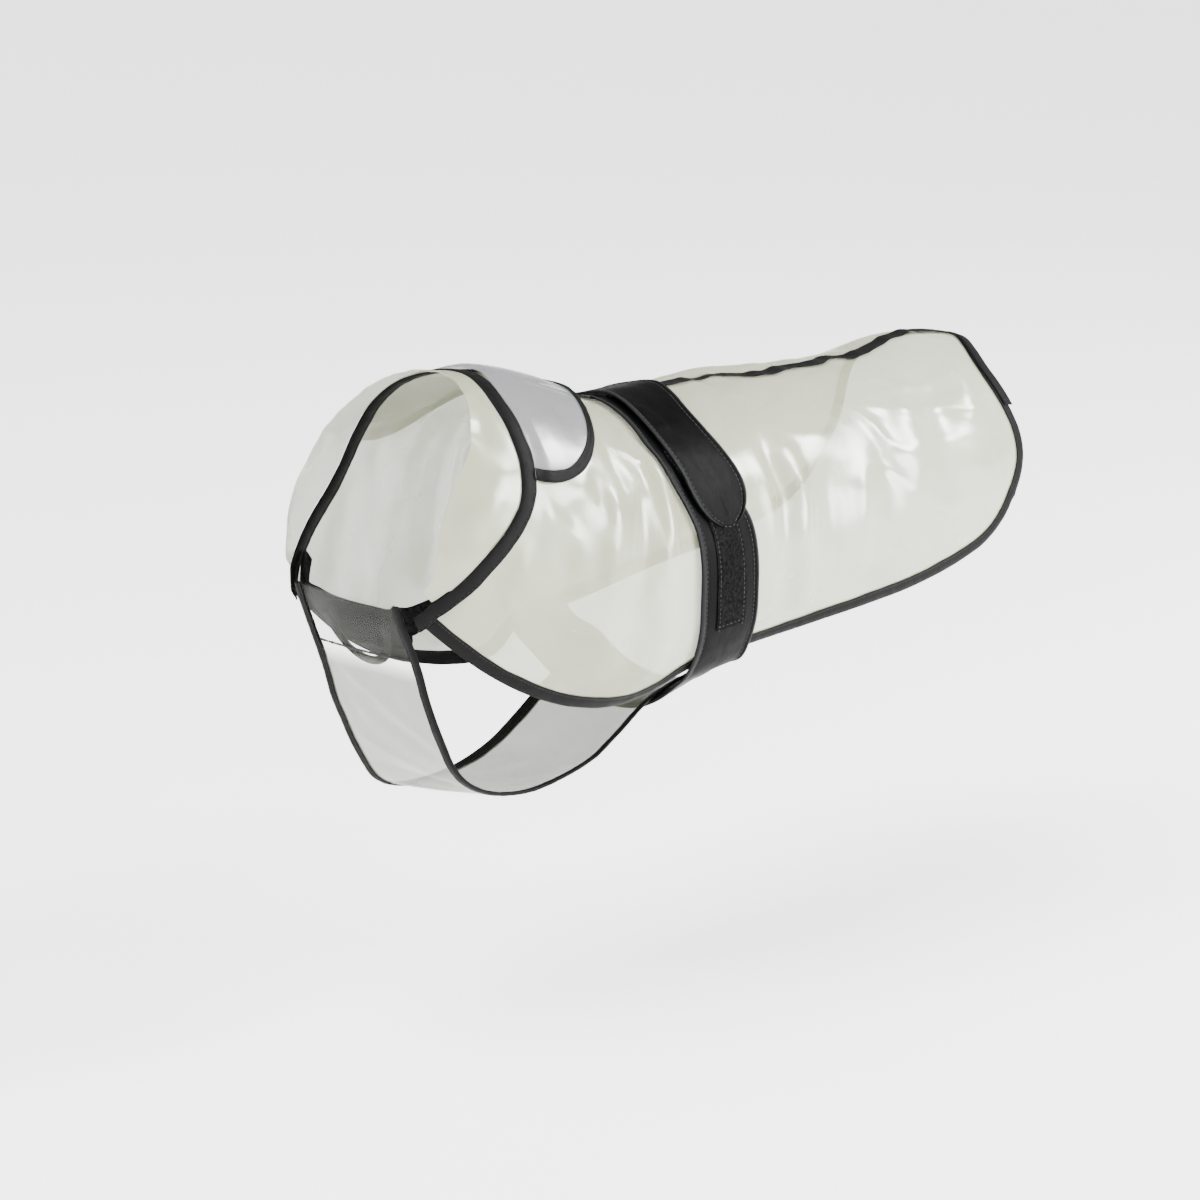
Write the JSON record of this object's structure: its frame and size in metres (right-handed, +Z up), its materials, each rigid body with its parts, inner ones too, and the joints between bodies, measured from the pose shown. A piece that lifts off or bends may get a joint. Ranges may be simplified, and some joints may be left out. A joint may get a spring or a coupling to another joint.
{
  "type": "dog raincoat",
  "caption": "See-through dog raincoat in its worn form: film coat with bound edges, stand collar, neck flap, chest panel between the forelegs and a wide wrap-round belt.",
  "frame": {"origin": "on the inside of the coat's back, on the spine at the middle of the belt, where the coat lies on the wearer's back", "axes": "+Z up, +Y along the back towards the tail, -Y towards the head, +X towards the wearer's left"},
  "size_m": [0.1857, 0.5506, 0.2643],
  "materials": {
    "frosted_film": "see-through frosted film with a soft gloss",
    "binding_tape": "charcoal woven binding tape",
    "belt_webbing": "black brushed fastening tape with a satin sheen",
    "hook_and_loop": "black loop pile"
  },
  "bodies": {
    "root": {"coat_left": "frosted_film", "coat_right": "frosted_film", "collar": "frosted_film", "neck_flap": "frosted_film", "chest_panel": "frosted_film", "throat_hem": "frosted_film", "chest_tab": "frosted_film", "neck_binding": "binding_tape", "hem_binding": "binding_tape", "spine_tape": "binding_tape", "rear_tape_end": "binding_tape", "neck_flap_binding": "binding_tape", "chest_binding_left": "binding_tape", "chest_binding_right": "binding_tape", "chest_tab_binding": "binding_tape", "belt": "belt_webbing", "neck_strap_left": "hook_and_loop", "neck_strap_right": "hook_and_loop", "belt_loop_pad": "hook_and_loop"}
  },
  "joints": []
}
